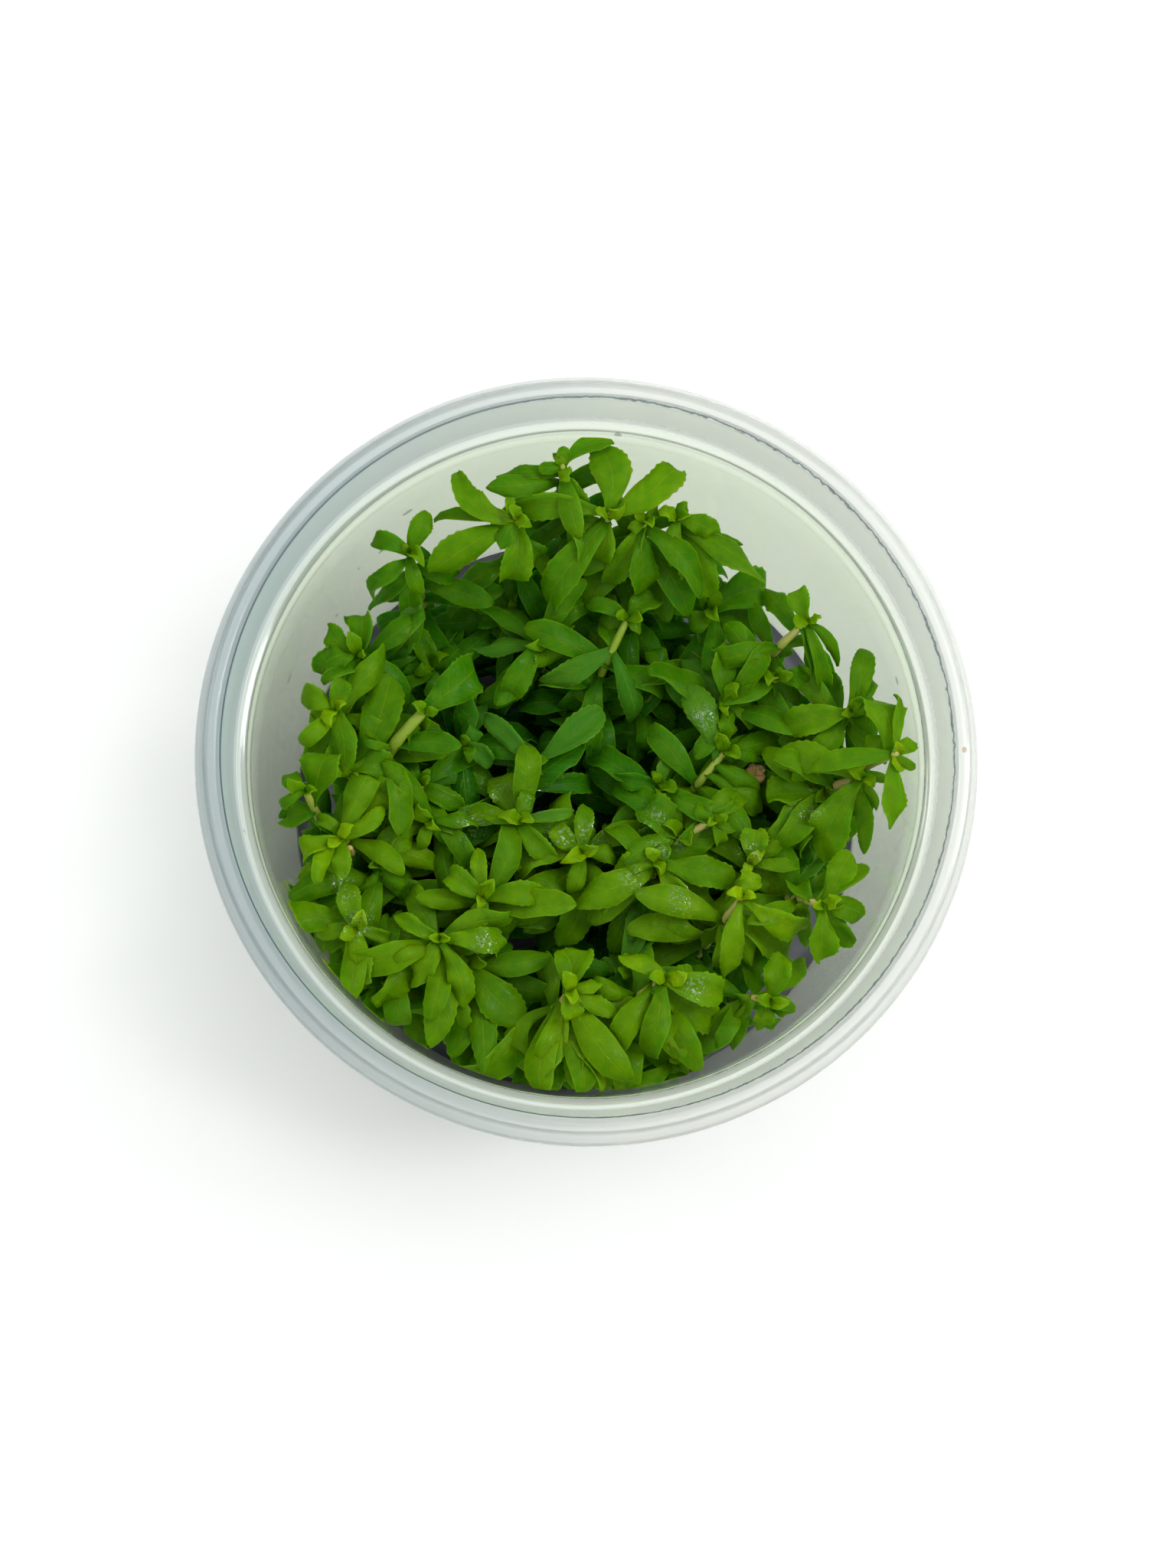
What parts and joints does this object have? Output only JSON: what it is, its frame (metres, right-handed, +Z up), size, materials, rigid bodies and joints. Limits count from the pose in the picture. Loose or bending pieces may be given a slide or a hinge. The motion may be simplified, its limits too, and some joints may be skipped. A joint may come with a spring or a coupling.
{
  "type": "tissue-culture aquarium plant in its cup",
  "caption": "Clear tapered plastic cup with a lid seat, holding culture gel and a dense stand of small leafy aquarium stem plants.",
  "frame": {"origin": "centre of the foot ring, on the surface that the cup stands on", "axes": "+Z up along the cup's axis, +X to the right and +Y away from the viewer as the picture shows the cup"},
  "size_m": [0.1, 0.1, 0.056],
  "materials": {
    "cup_plastic": "clear moulded polypropylene, glossy, slightly hazy",
    "culture_gel": "cloudy set gel with a wet surface",
    "plant": "fleshy leaves with a soft sheen, young tips yellow-green",
    "cut_stem_end": "pale brown dried cut end"
  },
  "bodies": {
    "root": {"cup": "cup_plastic", "gel": "culture_gel", "shoot_01": "plant", "shoot_02": "plant", "shoot_03": "plant", "shoot_04": "plant", "shoot_05": "plant", "shoot_06": "plant", "shoot_07": "plant", "shoot_08": "plant", "shoot_09": "plant", "shoot_10": "plant", "shoot_11": "plant", "shoot_12": "plant", "shoot_13": "plant", "shoot_14": "plant", "shoot_15": "plant", "shoot_16": "plant", "shoot_17": "plant", "shoot_18": "plant", "shoot_19": "plant", "shoot_20": "plant", "shoot_21": "plant", "shoot_22": "plant", "shoot_23": "plant", "shoot_24": "plant", "shoot_25": "plant", "shoot_26": "plant", "shoot_27": "plant", "shoot_28": "plant", "shoot_29": "plant", "shoot_30": "plant", "shoot_31": "plant", "shoot_32": "plant", "shoot_33": "plant", "shoot_34": "plant", "shoot_35": "plant", "shoot_36": "plant", "shoot_37": "plant", "shoot_38": "plant", "shoot_39": "plant", "shoot_40": "plant", "shoot_41": "plant", "shoot_42": "plant", "shoot_43": "plant", "shoot_44": "plant", "shoot_45": "plant", "shoot_46": "plant", "shoot_47": "plant", "shoot_48": "plant", "shoot_49": "plant", "shoot_50": "plant", "shoot_51": "plant", "shoot_52": "plant", "shoot_53": "plant", "cut_stem": "cut_stem_end"}
  },
  "joints": []
}
